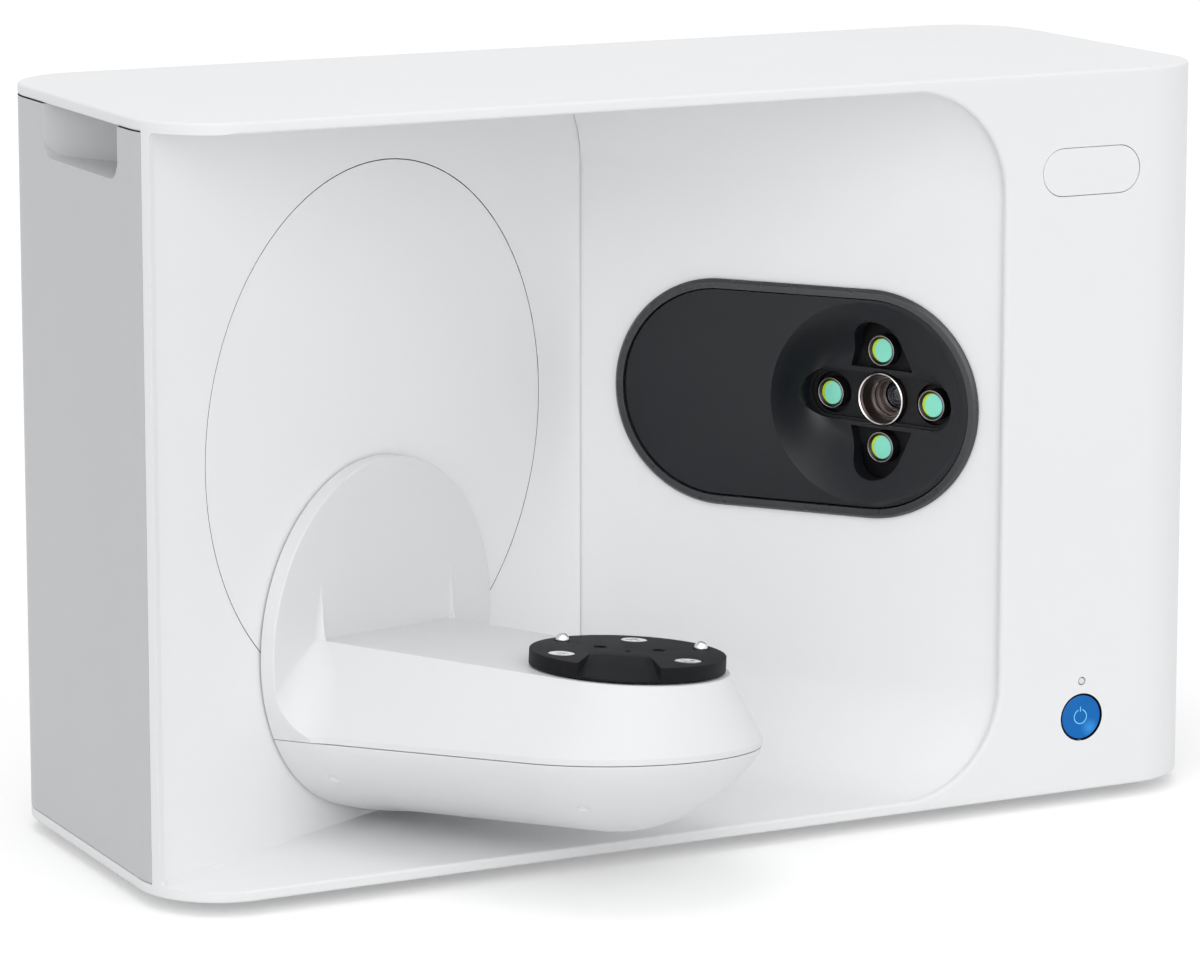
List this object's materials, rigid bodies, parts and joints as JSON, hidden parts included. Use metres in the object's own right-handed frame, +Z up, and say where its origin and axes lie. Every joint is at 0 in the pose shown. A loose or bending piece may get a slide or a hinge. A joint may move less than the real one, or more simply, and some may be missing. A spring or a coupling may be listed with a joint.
{
  "type": "desktop 3d scanner",
  "caption": "Wide white box, open at the front and front left, with a swinging arm that carries a black turntable, and a dark oval camera head on the right wall.",
  "frame": {"origin": "middle of the overall box in plan, on the surface the feet stand on", "axes": "+X along the width, to the right as the user sees it; +Y from the open front to the back; +Z up"},
  "size_m": [0.505, 0.2854, 0.331],
  "materials": {
    "housing_white": "satin",
    "chamber_white": "matte",
    "arm_white": "satin",
    "black_plastic": "matte",
    "bezel_black": "gloss",
    "face_grey": "satin",
    "button_blue": "gloss",
    "foot_rubber": "matte",
    "belt_rubber": "matte",
    "steel": "brushed",
    "bright_steel": "polished",
    "aluminium": "satin",
    "coated_glass": "polished",
    "lens_glass": "polished",
    "light_grey_plastic": "satin",
    "board_green": "matte",
    "ivory_plastic": "matte"
  },
  "bodies": {
    "housing": {"main_housing": "housing_white", "left_side_panel": "housing_white", "right_side_panel": "housing_white", "rear_panel": "housing_white", "chamber_left_wall": "chamber_white", "chamber_right_wall": "chamber_white", "front_left_foot": "foot_rubber", "front_right_foot": "foot_rubber", "rear_left_foot": "foot_rubber", "rear_right_foot": "foot_rubber", "badge_insert": "housing_white", "status_light_pipe": "light_grey_plastic", "button_housing": "ivory_plastic", "tact_switch": "black_plastic", "scan_head_bezel": "bezel_black", "scan_head_face": "face_grey", "camera_carrier": "aluminium", "left_camera": "black_plastic", "right_camera": "black_plastic", "upper_camera": "black_plastic", "lower_camera": "black_plastic", "left_filter": "coated_glass", "right_filter": "coated_glass", "upper_filter": "coated_glass", "lower_filter": "coated_glass", "projector_barrel": "black_plastic", "projector_ring": "bright_steel", "projector_lens": "lens_glass", "projector_body": "black_plastic", "main_board": "board_green", "power_supply": "aluminium", "cooling_fan_frame": "black_plastic", "power_inlet": "black_plastic", "data_port": "steel", "drive_chassis": "aluminium", "bearing_housing": "aluminium", "swing_motor": "black_plastic", "drive_belt": "belt_rubber"},
    "power_button": {"power_button": "button_blue"},
    "fan_rotor": {"fan_rotor": "black_plastic"},
    "motor_pulley": {"motor_pulley": "steel"},
    "swing_arm": {"swing_disc": "chamber_white", "swing_shaft": "steel", "swing_pulley": "black_plastic", "arm_upper_shell": "arm_white", "arm_lower_shell": "arm_white", "arm_frame": "aluminium", "turntable_bearing": "steel", "turntable_motor": "black_plastic"},
    "turntable": {"turntable_plate": "black_plastic", "turntable_shaft": "steel", "front_magnet": "steel", "left_magnet": "steel", "right_magnet": "steel", "right_locating_ball": "bright_steel", "rear_locating_ball": "bright_steel"}
  },
  "joints": [
    {"name": "arm_swing", "type": "hinge", "parent": "housing", "child": "swing_arm", "pos_m": [-0.11585, 0.03991, 0.1806], "axis": [0.4704, -0.8825, 0], "range_deg": [-40.4, 49.6]},
    {"name": "motor_pulley_turn", "type": "hinge", "parent": "housing", "child": "motor_pulley", "pos_m": [-0.14421, 0.0248, 0.08169], "axis": [0.4704, -0.8825, 0], "range_deg": [-225, 276]},
    {"name": "turntable_spin", "type": "hinge", "parent": "swing_arm", "child": "turntable", "pos_m": [-0.05739, -0.08327, 0.10156], "axis": [0.0708, 0.0377, 0.9968], "continuous": true},
    {"name": "power_button_press", "type": "slide", "parent": "housing", "child": "power_button", "axis": [0, 1, 0], "range_m": [0, 0.0015], "stiffness_N_per_m": 600, "springref_m": -0.001},
    {"name": "fan_spin", "type": "hinge", "parent": "housing", "child": "fan_rotor", "pos_m": [0.15, 0.13189, 0.251], "axis": [0, -1, 0], "continuous": true}
  ],
  "couplings": [
    {"joint": "motor_pulley_turn", "follows": "arm_swing", "ratio": 5.5455}
  ]
}
